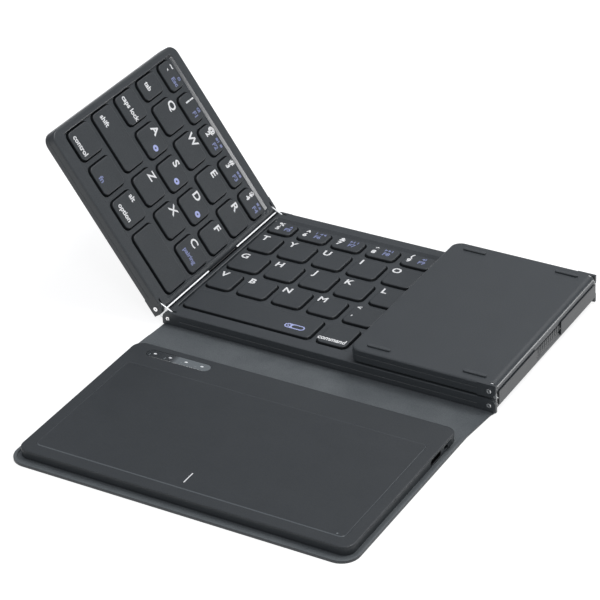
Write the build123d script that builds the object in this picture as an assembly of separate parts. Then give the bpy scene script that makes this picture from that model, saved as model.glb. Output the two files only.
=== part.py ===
from build123d import *
import os

# Folding keyboard in three panels, with a touch pad on a leather flap.
# Millimetres. X runs to the right, Y to the back and Z up. The origin is on the table under the
# centre of the middle panel. The left leaf is half open, the right leaf lies folded over the middle
# panel, and the flap lies flat in front.

# ---- panels ----
panel_w = 162.0          # middle panel, from side to side
panel_d = 100.0          # every panel, front to back
panel_t = 6.2            # every panel, back face to rim
left_w = 92.4            # left leaf, from its hinge side to its free side
leaf_gap = 0.8           # between the free sides of the two leaves when both are folded in
face_gap = 0.8           # between two panels that are folded together
corner_r = 5.0           # free corners of the leaves
edge_r = 0.8             # free edges of the leaves, seen from the front
left_angle = 55.5        # how far the left leaf is raised from flat
right_angle = 180.0      # how far the right leaf is folded from flat

# ---- shells ----
floor_t = 1.0            # floor of a case
split_h = 2.8            # joint between case and frame, above the back face
tray_drop = 1.3          # rim down to the floor of the key tray
web_t = 0.8              # floor of the key tray
front_rim = 7.8          # front edge to the key tray
back_rim = 5.6           # back edge to the key tray
hinge_rim = 3.6          # hinge side to the key tray
free_rim = 3.4           # free side to the key tray
pocket_end = 3.4         # front and back walls round the inner pocket
pocket_hinge = 5.0       # wall of the pocket along a hinge side
pocket_free = 2.4        # wall of the pocket along a free side
fit_gap = 0.2            # loose fit of a piece in its pocket

# ---- keys ----
key_gap = 3.0            # between neighbouring keys of a row
row_gap = 3.2            # between rows
side_margin = 0.8        # between the side of the tray and the keys
front_margin = 1.0       # between the front of the tray and the keys
back_margin = 2.4        # between the keys and the back of the tray
bottom_unit = 1.067      # depth of the bottom row, in plain rows
number_unit = 0.733      # depth of the number row, in plain rows
key_h = 1.7              # height of a key cap
key_sunk = 0.2           # key top below the rim
key_corner = 1.2         # cut corner of a key cap
key_draft = 10.0         # slope of its sides, in degrees
key_clear = 0.3          # between a key and its opening
plate_t = 0.5            # steel plate under the keys
membrane_t = 0.3         # printed contact film
domes_t = 0.4            # rubber sheet on the film

# ---- hinges ----
ear_t = 1.4              # ear at each end of a hinge side
ear_root = 2.2           # ear past the end of its slot
slot_w = 0.9             # slot behind the ear
slot_clear = 0.6         # between a link plate and the end of its slot
link_t = 0.6             # link plate
link_inset = 0.4         # link plate inside the round of the ears
waist_w = 2.8            # link plate between its ends
waist_r = 1.0            # hollow beside the waist
pin_r = 0.6              # hinge pin
tang_w = 0.8             # square end of a pin, riveted into the link plate
pin_head_r = 1.1
pin_head_t = 0.35
pin_clear = 0.05         # between pin and ear
bar_t = 0.4              # steel bar in the fold
bar_sunk = 0.8           # top of the bar below the rims
cover_t = 0.5            # spine cover behind the fold
cover_clear = 0.15       # between the spine cover and the round sides
cover_w = 6.6            # width of the spine cover
bridge_l = 24.0          # cable bridge between the two bars
bridge_w = 5.0           # width of its back
bridge_clear = 0.2       # between its hollow flanks and the round sides
bridge_sunk = 1.6        # top of the bridge below the line of the pins
cable_t = 0.2            # flat cable
cable_w = 22.0
cable_rise = 3.4         # the cable above the bridge
end_gap = 0.2            # between hinge pieces that meet end to end

# ---- feet of the leaves ----
foot_l = 11.0
foot_w = 1.8
foot_in_x = 6.5          # from the sides of the leaf
foot_in_y = 4.2          # from its front and back edges

# ---- leather ----
leather_t = 0.8
base_side = 3.6          # base leather in from the sides of the middle panel
base_short = 1.5         # and from its back edge
crease_out = 1.4         # first crease in front of the middle panel
crease_w = 0.9           # bare fold line at a crease
spine_in = 1.0           # spine leather in from the sides of the middle panel
flap_in = 1.2            # flap in from the sides, before its shift
flap_shift = -2.0        # the flap sits a little to the left
flap_corner = 8.0
flap_lip = 4.3           # leather past the front of the pad
ridge_w = 1.6            # turned edge round the flap
ridge_h = 0.6

# ---- pad ----
pad_short = 8.3          # the pad is shorter than a panel by this
pad_side = 2.6           # from the sides of the flap to the pad
pad_in = 1.6             # from the second crease to the pad
pad_corner = 5.0
pad_wall = 1.8
pad_floor = 0.6
lid_t = 0.6              # top cover of the pad
lid_edge = 0.4           # bevel round the top cover
stack_clear = 0.3        # between the closed pad and the feet of the leaves
touch_in = 5.6           # touch surface in from the sides and the front of the pad
touch_back = 16.1        # touch surface in from the back of the pad
touch_corner = 2.0
touch_t = 0.4
window_l = 31.6
window_w = 5.4
window_t = 0.4
window_in_x = 24.4       # centre of the window from the pad's left side
window_in_y = 6.1        # and from the pad's back edge
board_w = 58.0
board_d = 60.0
board_t = 1.0
battery_gap = 6.0        # to the left wall and to the board
battery_front = 12.0     # to the front wall
battery_d = 46.0
battery_t = 2.0
magnet_l = 12.0
magnet_w = 3.0
magnet_t = 1.6
magnet_in = 17.2         # centre of a magnet from the pad's side
socket_w = 8.9
socket_h = 2.5
socket_l = 7.3
socket_wall = 0.3
socket_room = 0.5        # free height in the pad beside the socket, over and under it together
socket_fit = 0.1         # round the socket in the wall of the pad
socket_in_y = 20.0       # centre of the socket from the pad's back edge
tongue_w = 6.4
tongue_t = 0.7
tongue_short = 1.0       # tongue behind the mouth
switch_in_y = 9.5        # centre of the switch from the pad's back edge
switch_l = 3.6
switch_h = 1.4
switch_out = 0.6
switch_deep = 1.2
switch_travel = 2.0
switch_end = 0.3         # slot past the switch at each end of its travel
rib_w = 0.4              # grooves across the switch
rib_t = 0.25

# ---- worked out from the sizes above ----
side_r = panel_t / 2                       # a hinge side is half round, about its pins
link_span = panel_t + face_gap             # from pin to pin
link_r = side_r - link_inset
slot_l = side_r + link_r + slot_clear
ear_l = slot_l + ear_root
plate_in = ear_t + (slot_w - link_t) / 2   # outer face of a link plate, in from the panel's end
right_w = panel_w - left_w - leaf_gap
pin_x = panel_w / 2 - side_r
pin_z = leather_t + side_r
fold_x = pin_x + link_span / 2             # middle of the fold
cover_top = pin_z - side_r - cover_clear
y_front = -panel_d / 2
y_back = panel_d / 2
tray_h = panel_t - tray_drop
web_low = tray_h - web_t
film_low = floor_t + plate_t
domes_low = film_low + membrane_t
key_low = panel_t - key_sunk - key_h
first_key = hinge_rim + side_margin        # from a hinge side to the nearest keys
last_key = free_rim + side_margin          # from a free side to the nearest keys
row_units = bottom_unit + 3 + number_unit
rows_d = panel_d - front_rim - front_margin - back_rim - back_margin
row_pitch = (rows_d + row_gap) / row_units
key_d = row_pitch - row_gap
bottom_d = bottom_unit * row_pitch - row_gap
number_d = number_unit * row_pitch - row_gap
bottom_y = y_front + front_rim + front_margin
lower_y = bottom_y + bottom_d + row_gap
home_y = lower_y + row_pitch
top_y = home_y + row_pitch
number_y = top_y + row_pitch
foot_t = leather_t                         # an open leaf stands level with the middle panel
pad_t = pad_floor + socket_h + socket_room + lid_t
crease_y = y_front - crease_out
closed_top = leather_t + panel_t + face_gap + panel_t + foot_t
spine_l = closed_top + stack_clear + pad_t
flap_y1 = crease_y - spine_l               # second crease
flap_x0 = flap_shift - panel_w / 2 + flap_in
flap_x1 = flap_shift + panel_w / 2 - flap_in
pad_x0 = flap_x0 + pad_side
pad_x1 = flap_x1 - pad_side
pad_y1 = flap_y1 - pad_in
pad_y0 = pad_y1 - panel_d + pad_short
flap_y0 = pad_y0 - flap_lip
pad_z1 = leather_t + pad_t
lid_z = pad_z1 - lid_t
inner_z = leather_t + pad_floor
port_z = (inner_z + lid_z) / 2             # middle of the socket and the switch
switch_y = pad_y1 - switch_in_y
switch_slot = switch_l + switch_travel + 2 * switch_end
board_x1 = pad_x1 - socket_l - fit_gap
board_x0 = board_x1 - board_w


# ---- plain shapes ----
def block(x0, x1, y0, y1, z0, z1):
    """A box between two corners."""
    centre = Pos((x0 + x1) / 2, (y0 + y1) / 2, (z0 + z1) / 2)
    return centre * Box(x1 - x0, y1 - y0, z1 - z0)


def rod_y(x, z, y0, y1, radius):
    """A round bar along Y."""
    return Pos(x, (y0 + y1) / 2, z) * Rot(90, 0, 0) * Cylinder(radius, y1 - y0)


def rounded_plate(x0, x1, y0, y1, z0, z1, radius):
    """A plate with four round corners."""
    outline = RectangleRounded(x1 - x0, y1 - y0, radius)
    return Pos((x0 + x1) / 2, (y0 + y1) / 2, z0) * extrude(outline, z1 - z0)


def front_rounded(x0, x1, y0, y1, z0, z1, radius):
    """A plate whose two front corners are round."""
    longer = rounded_plate(x0, x1, y0, y1 + 2 * radius, z0, z1, radius)
    return longer & block(x0, x1, y0, y1, z0, z1)


# ---- from lying flat to the pose of the panels; both pins of a hinge turn by the same angle ----
def fold_left_link(shape):
    return shape.rotate(Axis((-pin_x, 0, pin_z), (0, 1, 0)), left_angle / 2)


def fold_left_leaf(shape):
    outer_pin = Axis((-pin_x - link_span, 0, pin_z), (0, 1, 0))
    return fold_left_link(shape.rotate(outer_pin, left_angle / 2))


def fold_right_link(shape):
    return shape.rotate(Axis((pin_x, 0, pin_z), (0, -1, 0)), right_angle / 2)


def fold_right_leaf(shape):
    outer_pin = Axis((pin_x + link_span, 0, pin_z), (0, -1, 0))
    return fold_right_link(shape.rotate(outer_pin, right_angle / 2))


# A panel is drawn with its hinge side at X = 0 and its back face at Z = 0, and then seated.
def seat_middle(shape):
    return Pos(-panel_w / 2, 0, leather_t) * shape


def seat_left(shape):
    flat = Pos(-panel_w / 2 - face_gap, 0, leather_t) * mirror(shape, Plane.YZ)
    return fold_left_leaf(flat)


def seat_right(shape):
    flat = Pos(panel_w / 2 + face_gap, 0, leather_t) * shape
    return fold_right_leaf(flat)


# ---- keys, as rectangles (x0, x1, y0, y1) on a panel; widths are in plain keys ----
def key_row(width, last, y0, depth, units):
    """Keys of the given units that fill a row, from the hinge side on."""
    pitch = (width - first_key - last + key_gap) / sum(units)
    keys = []
    x0 = first_key
    for unit in units:
        x1 = x0 + unit * pitch - key_gap
        keys.append((x0, x1, y0, y0 + depth))
        x0 = x1 + key_gap
    return keys


def left_keys():
    top = key_row(left_w, last_key, top_y, key_d, [1.04, 1.04, 1.04, 1.04, 0.78])
    home = key_row(left_w, last_key, home_y, key_d, [0.92, 1, 1.01, 1.01, 1.03])
    lower = key_row(left_w, last_key, lower_y, key_d, [1.03, 1, 1.03, 1.9])
    bottom = key_row(left_w, last_key, bottom_y, bottom_d, [1.92, 1, 1.02, 1.02])
    return {
        "left_number_keys": key_row(left_w, last_key, number_y, number_d, [1] * 5),
        "left_top_keys": top,
        "left_home_keys": home,
        "left_lower_keys": lower[:3],
        "left_shift_key": lower[3:],
        "left_space_key": bottom[:1],
        "left_bottom_keys": bottom[1:],
    }


def middle_keys():
    short_ends = [0.88] + [1] * 7 + [0.9]
    even_ends = [0.89] + [1] * 7 + [0.89]
    bottom = key_row(panel_w, first_key, bottom_y, bottom_d, [3.78] + [1] * 5)
    return {
        "middle_number_keys": key_row(panel_w, first_key, number_y, number_d, short_ends),
        "middle_top_keys": key_row(panel_w, first_key, top_y, key_d, short_ends),
        "middle_home_keys": key_row(panel_w, first_key, home_y, key_d, [1.08] + [1] * 6 + [1.7]),
        "middle_lower_keys": key_row(panel_w, first_key, lower_y, key_d, even_ends),
        "middle_space_key": bottom[:1],
        "middle_bottom_keys": bottom[1:],
    }


def right_keys():
    """A number pad; its enter key is two rows deep."""
    columns = [1] * 4
    lower = key_row(right_w, last_key, lower_y, key_d, columns)
    enter_x0, enter_x1, low, enter_y1 = lower[3]
    bottom = key_row(right_w, last_key, bottom_y, bottom_d, [2, 1, 1])
    return {
        "right_number_keys": key_row(right_w, last_key, number_y, number_d, columns),
        "right_top_keys": key_row(right_w, last_key, top_y, key_d, columns),
        "right_home_keys": key_row(right_w, last_key, home_y, key_d, columns),
        "right_lower_keys": lower[:3],
        "right_enter_key": [(enter_x0, enter_x1, bottom_y, enter_y1)],
        "right_bottom_keys": bottom[:2],
    }


def key_cap(x0, x1, y0, y1):
    """A key with cut corners, whose sides lean in to the top."""
    outline = Rectangle(x1 - x0, y1 - y0)
    cap = extrude(chamfer(outline.vertices(), key_corner), key_h, taper=key_draft)
    return Pos((x0 + x1) / 2, (y0 + y1) / 2, key_low) * cap


# ---- shells of a panel ----
def panel_outside(width, two_hinges):
    """The whole outside: half-round hinge sides, and round corners on a free side."""
    section = Pos(side_r, side_r) * Circle(side_r)
    if two_hinges:
        section += Pos(width / 2, side_r) * Rectangle(width - 2 * side_r, panel_t)
        section += Pos(width - side_r, side_r) * Circle(side_r)
    else:
        square = Pos((side_r + width) / 2, side_r) * Rectangle(width - side_r, panel_t)
        section += fillet(square.vertices().group_by(Axis.X)[-1], edge_r)
    bar = Pos(0, y_front, 0) * extrude(Plane.XZ * section, panel_d, dir=(0, 1, 0))
    if two_hinges:
        return bar
    return bar & rounded_plate(-2 * corner_r, width, y_front, y_back, 0, panel_t, corner_r)


def end_boxes(width, two_hinges, length, depth0, depth1):
    """Boxes at both ends of each hinge side, between two depths from the panel's end."""
    boxes = []
    for x0 in [0, width - length] if two_hinges else [0]:
        x1 = x0 + length
        boxes.append(block(x0, x1, y_front + depth0, y_front + depth1, 0, panel_t))
        boxes.append(block(x0, x1, y_back - depth1, y_back - depth0, 0, panel_t))
    return boxes


def pocket(width, two_hinges, z0, z1, gap=0.0):
    """The inner pocket, or a layer that lies in it with a gap all round."""
    far = pocket_hinge if two_hinges else pocket_free
    y0 = y_front + pocket_end + gap
    y1 = y_back - pocket_end - gap
    return block(pocket_hinge + gap, width - far - gap, y0, y1, z0, z1)


def panel_case(width, two_hinges):
    """Bottom shell with the ears that carry the pins; an ear is round only at the rim."""
    outside = panel_outside(width, two_hinges)
    case = outside & block(0, width, y_front, y_back, 0, split_h)
    case -= pocket(width, two_hinges, floor_t, split_h)
    outside += block(0, side_r, y_front, y_back, 0, side_r)
    if two_hinges:
        outside += block(width - side_r, width, y_front, y_back, 0, side_r)
    for ear in end_boxes(width, two_hinges, ear_l, 0, ear_t):
        case += outside & ear
    for slot in end_boxes(width, two_hinges, slot_l, ear_t, ear_t + slot_w):
        case -= slot
    for x in [side_r, width - side_r] if two_hinges else [side_r]:
        case -= rod_y(x, side_r, y_front, y_front + ear_t, pin_r + pin_clear)
        case -= rod_y(x, side_r, y_back - ear_t, y_back, pin_r + pin_clear)
    return case


def panel_frame(width, two_hinges, keys):
    """Top shell: a rim round a sunk tray, with an opening for every key."""
    frame = panel_outside(width, two_hinges) & block(0, width, y_front, y_back, split_h, panel_t)
    far = hinge_rim if two_hinges else free_rim
    tray_y0 = y_front + front_rim
    tray_y1 = y_back - back_rim
    frame -= block(hinge_rim, width - far, tray_y0, tray_y1, tray_h, panel_t)
    frame -= pocket(width, two_hinges, split_h, web_low)
    for ear in end_boxes(width, two_hinges, ear_l, 0, ear_t):
        frame -= ear
    for slot in end_boxes(width, two_hinges, slot_l, ear_t, ear_t + slot_w):
        frame -= slot
    c = key_clear
    openings = []
    for row in keys.values():
        for x0, x1, y0, y1 in row:
            openings.append(block(x0 - c, x1 + c, y0 - c, y1 + c, split_h, panel_t))
    return frame - openings


def leaf_feet(width):
    """Four rubber feet on the back of a leaf."""
    feet = []
    for x0 in (foot_in_x, width - foot_in_x - foot_l):
        for y0 in (y_front + foot_in_y, y_back - foot_in_y - foot_w):
            feet.append(block(x0, x0 + foot_l, y0, y0 + foot_w, -foot_t, 0))
    return feet


# ---- hinge, lying flat between the middle panel and an open left leaf ----
def link_plate(y0):
    """A waisted plate with round ends that holds the two pins of one end."""
    centres = [Pos(-link_span / 2, 0), Pos(link_span / 2, 0)]
    outline = Rectangle(link_span, waist_w) + [c * Circle(link_r) for c in centres]
    hollows = outline.vertices().filter_by(lambda v: abs(v.X) < link_span / 2)
    outline = fillet(hollows, waist_r)
    outline -= [c * Rectangle(tang_w, tang_w) for c in centres]
    plate = extrude(Plane.XZ * outline, link_t, dir=(0, 1, 0))
    return Pos(-fold_x, y0, pin_z) * plate


def hinge_pin(x, end):
    """A round pin from its head, outside the ear, and its square tang through the link plate."""
    inward = 1 if end < 0 else -1
    shoulder = end + inward * plate_in
    pin = rod_y(x, pin_z, *sorted((end, shoulder)), pin_r)
    pin += rod_y(x, pin_z, *sorted((end - inward * pin_head_t, end)), pin_head_r)
    h = tang_w / 2
    return pin + block(
        x - h, x + h, *sorted((shoulder, shoulder + inward * link_t)), pin_z - h, pin_z + h
    )


def link_plates():
    return [link_plate(y_front + plate_in), link_plate(y_back - plate_in - link_t)]


def hinge_pins():
    return [hinge_pin(x, y) for x in (-pin_x, -pin_x - link_span) for y in (y_front, y_back)]


def fold_lengths():
    """The two stretches of the fold between the link plates and the cable bridge."""
    far = panel_d / 2 - plate_in - link_t
    near = bridge_l / 2 + end_gap
    return [(-far, -near), (near, far)]


def spine_bars():
    top = pin_z + side_r - bar_sunk
    x0 = -fold_x - bar_t / 2
    return [block(x0, x0 + bar_t, y0, y1, cover_top, top) for y0, y1 in fold_lengths()]


def spine_covers():
    x0 = -fold_x - cover_w / 2
    z0 = cover_top - cover_t
    return [block(x0, x0 + cover_w, y0, y1, z0, cover_top) for y0, y1 in fold_lengths()]


def cable_bridge():
    """A bar whose hollow flanks follow the round sides of both panels."""
    low = cover_top - cover_t - pin_z
    outline = Pos(0, (low - bridge_sunk) / 2) * Rectangle(bridge_w, -bridge_sunk - low)
    for x in (-link_span / 2, link_span / 2):
        outline -= Pos(x, 0) * Circle(side_r + bridge_clear)
    bar = extrude(Plane.XZ * outline, bridge_l, dir=(0, 1, 0))
    return Pos(-fold_x, -bridge_l / 2, pin_z) * bar


def flat_cable():
    """The flat cable where it stands in the fold, between the panels."""
    x0 = -fold_x - cable_t / 2
    z0 = pin_z - bridge_sunk
    return block(x0, x0 + cable_t, -cable_w / 2, cable_w / 2, z0, z0 + cable_rise)


# ---- leather ----
def leather_base():
    """Glued under the middle panel, clear of the spine covers."""
    half = panel_w / 2 - base_side
    return block(-half, half, crease_y + crease_w / 2, y_back - base_short, 0, leather_t)


def leather_spine():
    """Narrows from the first crease to the width of the flap."""
    half = panel_w / 2 - spine_in
    y0 = flap_y1 + crease_w / 2
    y1 = crease_y - crease_w / 2
    outline = Polygon((flap_x0, y0), (flap_x1, y0), (half, y1), (-half, y1), align=None)
    return extrude(outline, leather_t, dir=(0, 0, 1))


def leather_flap():
    """Flap with a turned edge that stands up round the front and the sides of the pad."""
    y1 = flap_y1 - crease_w / 2
    top = leather_t + ridge_h
    w = ridge_w
    sheet = front_rounded(flap_x0, flap_x1, flap_y0, y1, 0, top, flap_corner)
    inner_r = flap_corner - w
    well = front_rounded(flap_x0 + w, flap_x1 - w, flap_y0 + w, y1 + w, leather_t, top, inner_r)
    return sheet - well


# ---- pad ----
def pad_case():
    """Tray of the pad, with openings for the socket and the switch in its right side."""
    w = pad_wall
    tray = rounded_plate(pad_x0, pad_x1, pad_y0, pad_y1, leather_t, lid_z, pad_corner)
    tray -= block(pad_x0 + w, pad_x1 - w, pad_y0 + w, pad_y1 - w, inner_z, lid_z)
    mouth = SlotOverall(socket_w + 2 * socket_fit, socket_h + 2 * socket_fit)
    tray -= socket_place(pad_x1 - w) * extrude(Plane.YZ * mouth, w)
    y0 = switch_y - switch_slot / 2
    z0 = port_z - switch_h / 2 - fit_gap
    z1 = port_z + switch_h / 2 + fit_gap
    return tray - block(pad_x1 - w, pad_x1, y0, y0 + switch_slot, z0, z1)


def pad_lid():
    """Top cover with a bevelled edge and flush seats for the touch surface and the window."""
    lid = rounded_plate(pad_x0, pad_x1, pad_y0, pad_y1, lid_z, pad_z1, pad_corner)
    lid = chamfer(lid.faces().sort_by(Axis.Z)[-1].edges(), lid_edge)
    return lid - touch_surface() - status_window()


def touch_surface():
    x0 = pad_x0 + touch_in
    x1 = pad_x1 - touch_in
    y0 = pad_y0 + touch_in
    y1 = pad_y1 - touch_back
    return rounded_plate(x0, x1, y0, y1, pad_z1 - touch_t, pad_z1, touch_corner)


def status_window():
    """A pill-shaped window over the indicator lights."""
    pill = extrude(SlotOverall(window_l, window_w), window_t)
    return Pos(pad_x0 + window_in_x, pad_y1 - window_in_y, pad_z1 - window_t) * pill


def pad_board():
    """Circuit board behind the socket, beside the battery."""
    y1 = pad_y1 - pad_wall - fit_gap
    return block(board_x0, board_x1, y1 - board_d, y1, inner_z, inner_z + board_t)


def pad_battery():
    x0 = pad_x0 + pad_wall + battery_gap
    x1 = board_x0 - battery_gap
    y0 = pad_y0 + pad_wall + battery_front
    return block(x0, x1, y0, y0 + battery_d, inner_z, inner_z + battery_t)


def closing_magnets():
    """Two bar magnets behind the front wall of the pad."""
    y0 = pad_y0 + pad_wall + fit_gap
    magnets = []
    for x in (pad_x0 + magnet_in, pad_x1 - magnet_in):
        x0 = x - magnet_l / 2
        magnets.append(block(x0, x0 + magnet_l, y0, y0 + magnet_w, inner_z, inner_z + magnet_t))
    return magnets


def socket_place(x):
    return Pos(x, pad_y1 - socket_in_y, port_z)


def charge_socket():
    """A steel shell with a contact tongue, flush with the pad's right side."""
    inner_w = socket_w - 2 * socket_wall
    inner_h = socket_h - 2 * socket_wall
    shell = extrude(Plane.YZ * SlotOverall(socket_w, socket_h), socket_l)
    shell -= Pos(socket_wall, 0, 0) * extrude(Plane.YZ * SlotOverall(inner_w, inner_h), socket_l)
    tongue = extrude(Plane.YZ * Rectangle(tongue_w, tongue_t), socket_l - tongue_short)
    return socket_place(pad_x1 - socket_l) * (shell + tongue)


def power_switch():
    """A slider with three grooves for the fingertip, at the back end of its slot."""
    y1 = switch_y + (switch_l + switch_travel) / 2
    z0 = port_z - switch_h / 2
    tip = pad_x1 + switch_out
    knob = block(pad_x1 - switch_deep, tip, y1 - switch_l, y1, z0, z0 + switch_h)
    for i in (1, 2, 3):
        y = y1 - i * switch_l / 4
        knob -= block(tip - rib_t, tip, y - rib_w / 2, y + rib_w / 2, z0, z0 + switch_h)
    return knob


# ---- write every piece ----
def write(name, *solids):
    shape = solids[0] if len(solids) == 1 else Compound(children=list(solids))
    export_step(shape, "parts/" + name + ".step")


def write_panel(name, width, two_hinges, keys, seat):
    write(name + "_case", seat(panel_case(width, two_hinges)))
    write(name + "_frame", seat(panel_frame(width, two_hinges, keys)))
    for layer, z0, z1 in (
        ("_plate", floor_t, film_low),
        ("_membrane", film_low, domes_low),
        ("_domes", domes_low, domes_low + domes_t),
    ):
        write(name + layer, seat(pocket(width, two_hinges, z0, z1, fit_gap)))
    for node, row in keys.items():
        write(node, *[seat(key_cap(*key)) for key in row])


def write_hinge(name, place):
    write(name + "_link_plates", *[place(plate) for plate in link_plates()])
    write(name + "_hinge_pins", *[place(pin) for pin in hinge_pins()])
    write(name + "_spine_bars", *[place(bar) for bar in spine_bars()])
    write(name + "_spine_covers", *[place(cover) for cover in spine_covers()])
    write(name + "_cable_bridge", place(cable_bridge()))
    write(name + "_flat_cable", place(flat_cable()))


os.makedirs("parts", exist_ok=True)
write_panel("middle", panel_w, True, middle_keys(), seat_middle)
write_panel("left", left_w, False, left_keys(), seat_left)
write_panel("right", right_w, False, right_keys(), seat_right)
write("left_feet", *[seat_left(foot) for foot in leaf_feet(left_w)])
write("right_feet", *[seat_right(foot) for foot in leaf_feet(right_w)])
write_hinge("left", fold_left_link)
write_hinge("right", lambda shape: fold_right_link(mirror(shape, Plane.YZ)))
write("leather_base", leather_base())
write("leather_spine", leather_spine())
write("leather_flap", leather_flap())
write("pad_case", pad_case())
write("pad_lid", pad_lid())
write("touch_surface", touch_surface())
write("status_window", status_window())
write("pad_board", pad_board())
write("pad_battery", pad_battery())
write("closing_magnets", *closing_magnets())
write("charge_socket", charge_socket())
write("power_switch", power_switch())
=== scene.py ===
import math

import bmesh
import bpy
from mathutils import Matrix, Vector


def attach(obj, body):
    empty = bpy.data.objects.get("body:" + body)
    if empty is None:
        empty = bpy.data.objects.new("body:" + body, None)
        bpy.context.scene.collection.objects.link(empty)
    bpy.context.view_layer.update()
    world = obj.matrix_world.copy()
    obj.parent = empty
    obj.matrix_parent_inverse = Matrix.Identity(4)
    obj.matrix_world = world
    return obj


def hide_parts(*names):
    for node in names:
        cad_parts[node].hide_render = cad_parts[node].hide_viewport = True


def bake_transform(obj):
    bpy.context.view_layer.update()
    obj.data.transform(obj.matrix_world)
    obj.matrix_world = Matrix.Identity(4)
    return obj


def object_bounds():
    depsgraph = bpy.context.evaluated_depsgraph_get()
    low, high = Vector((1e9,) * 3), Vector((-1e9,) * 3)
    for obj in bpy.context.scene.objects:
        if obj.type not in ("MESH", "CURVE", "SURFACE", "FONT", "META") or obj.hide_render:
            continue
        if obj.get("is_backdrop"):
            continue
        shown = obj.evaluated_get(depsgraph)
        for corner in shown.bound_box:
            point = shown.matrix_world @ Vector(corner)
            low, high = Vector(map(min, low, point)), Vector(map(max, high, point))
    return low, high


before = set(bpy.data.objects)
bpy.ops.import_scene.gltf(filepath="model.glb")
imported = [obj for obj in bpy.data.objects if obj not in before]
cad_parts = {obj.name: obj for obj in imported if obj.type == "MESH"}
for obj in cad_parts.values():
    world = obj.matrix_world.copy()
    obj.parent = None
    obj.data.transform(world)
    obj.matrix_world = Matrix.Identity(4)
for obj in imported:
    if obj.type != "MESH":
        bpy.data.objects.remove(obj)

cad_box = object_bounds()
MM = 0.001


# ==== Table, light and camera ====
# A white table with one soft light high at the right, as in a product photograph.
# The camera stands at the front right and looks down; its place was fitted to the photograph.
def linear(colour):
    """An sRGB hex colour as linear RGBA."""
    parts = [int(colour[i:i + 2], 16) / 255 for i in (0, 2, 4)]
    return tuple(c / 12.92 if c <= 0.04045 else ((c + 0.055) / 1.055) ** 2.4 for c in parts) + (1.0,)


def add(tree, kind, inputs={}, **settings):
    """A new shader node; an input is either another node's socket or a value."""
    new = tree.nodes.new("ShaderNode" + kind)
    for key, value in settings.items():
        setattr(new, key, value)
    for key, value in inputs.items():
        if isinstance(value, bpy.types.NodeSocket):
            tree.links.new(value, new.inputs[key])
        else:
            new.inputs[key].default_value = value
    return new


def area_light(name, place, aim, size, power):
    lamp = bpy.data.lights.new(name, "AREA")
    lamp.shape = "RECTANGLE"
    lamp.size, lamp.size_y = size
    lamp.energy = power
    holder = bpy.data.objects.new(name, lamp)
    bpy.context.scene.collection.objects.link(holder)
    holder.location = place
    holder.rotation_mode = "QUATERNION"
    holder.rotation_quaternion = (Vector(aim) - Vector(place)).to_track_quat("-Z", "Y")


area_light("key_light", (0.45, 0.42, 1.5), (0.0, -0.02, 0.0), (0.7, 0.7), 12.3)
area_light("fill_light", (-0.69, -0.99, 1.12), (0.0, -0.02, 0.0), (0.3, 0.3), 1.6)
area_light("edge_light", (1.22, -0.91, 0.6), (-0.1, 0.0, 0.05), (0.35, 0.35), 3.0)
area_light("back_light", (0.0, 1.17, 1.05), (-0.1, 0.0, 0.03), (0.9, 0.4), 1.6)
area_light("rim_light", (1.1, 1.1, 0.12), (0.08, 0.0, 0.01), (0.36, 0.36), 2.1)

world = bpy.data.worlds.new("studio")
bpy.context.scene.world = world
world.use_nodes = True
tree = world.node_tree
tree.nodes.clear()
rays = add(tree, "LightPath")
straight = add(tree, "Math", {0: rays.outputs["Is Camera Ray"], 1: rays.outputs["Is Transmission Ray"]}, operation="ADD")
height = add(tree, "SeparateXYZ", {0: add(tree, "TexCoord").outputs["Generated"]})
level = add(tree, "MapRange", {"Value": height.outputs[2], "From Min": 0.0, "From Max": 1.0, "To Min": 0.22, "To Max": 0.5})
clear = add(tree, "Background", {"Color": linear("ffffff"), "Strength": 1.0})
room = add(tree, "Background", {"Color": linear("f4f7ff"), "Strength": level.outputs[0]})
pick = add(tree, "MixShader", {0: straight.outputs[0], 1: room.outputs[0], 2: clear.outputs[0]})
add(tree, "OutputWorld", {"Surface": pick.outputs[0]})

# Lacquered white board. It glows only for the camera and in reflections, so it looks white there but
# throws little light up on the keyboard, and it still takes the shadow.
white = bpy.data.materials.new("white_lacquer")
white.use_nodes = True
tree = white.node_tree
tree.nodes.clear()
rays = add(tree, "LightPath")
seen = add(tree, "Math", {0: rays.outputs["Is Camera Ray"], 1: rays.outputs["Is Glossy Ray"]}, operation="ADD")
seen = add(tree, "Math", {0: seen.outputs[0], 1: rays.outputs["Is Transmission Ray"]}, operation="ADD", use_clamp=True)
glow = add(tree, "Math", {0: seen.outputs[0], 1: 0.84}, operation="MULTIPLY")
pale = add(tree, "Emission", {"Color": linear("ffffff"), "Strength": glow.outputs[0]})
matt = add(tree, "BsdfDiffuse", {"Color": linear("a8a8a8"), "Roughness": 0.5})
both = add(tree, "AddShader", {0: pale.outputs[0], 1: matt.outputs[0]})
add(tree, "OutputMaterial", {"Surface": both.outputs[0]})

table = bpy.data.meshes.new("table")
reach = 4.0
table.from_pydata([(-reach, -reach, 0), (reach, -reach, 0), (reach, reach, 0), (-reach, reach, 0)], [], [(0, 1, 2, 3)])
table.materials.append(white)
floor = bpy.data.objects.new("table", table)
bpy.context.scene.collection.objects.link(floor)
floor.location.z = -0.0001
floor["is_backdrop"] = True

azimuth, elevation, roll = (math.radians(a) for a in (31.07, 31.01, -2.64))
back = Vector((math.sin(azimuth) * math.cos(elevation), -math.cos(azimuth) * math.cos(elevation), math.sin(elevation)))
level = Vector((0, 0, 1)).cross(back).normalized()
upright = back.cross(level)
side = math.cos(roll) * level + math.sin(roll) * upright
up = math.cos(roll) * upright - math.sin(roll) * level
spot = (0.06013 * side + 0.01080 * up + 1.15457 * back) - Vector((0.081, 0.050, 0))
camera = bpy.data.objects.new("camera", bpy.data.cameras.new("camera"))
bpy.context.scene.collection.objects.link(camera)
camera.data.lens = 36 * 2633.36 / 600
camera.data.sensor_width = 36
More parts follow.
